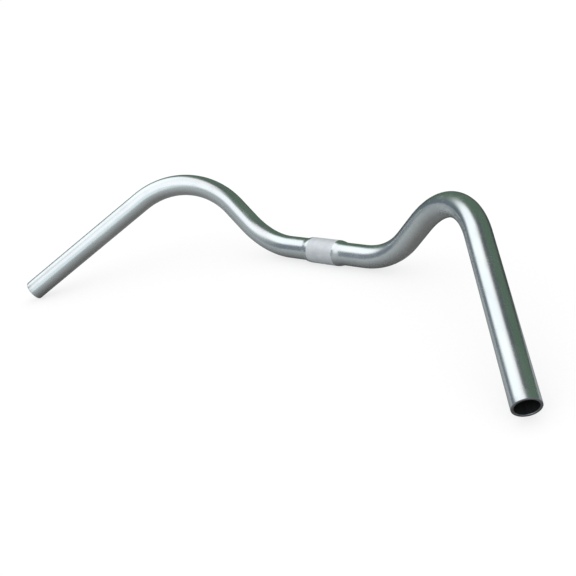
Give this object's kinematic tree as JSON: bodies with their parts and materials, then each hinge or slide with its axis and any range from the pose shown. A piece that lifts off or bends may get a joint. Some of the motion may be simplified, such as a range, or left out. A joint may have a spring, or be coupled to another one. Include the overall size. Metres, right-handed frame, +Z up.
{
  "type": "riser handlebar",
  "caption": "Riser handlebar: a hollow aluminium tube swaged out for the stem clamp, rising on each side and sweeping back into a straight open-ended grip",
  "frame": {"origin": "Middle of the stem clamp, on the bar's axis", "axes": "+X along the clamp to the rider's right, +Y forwards, +Z up, square to the flat surface that the bar rests on with its clamp and both grip ends"},
  "size_m": [0.6536, 0.1772, 0.0926],
  "materials": {
    "tube": "polished, with a matt knurled clamp"
  },
  "bodies": {
    "root": {"handlebar": "tube"}
  },
  "joints": []
}
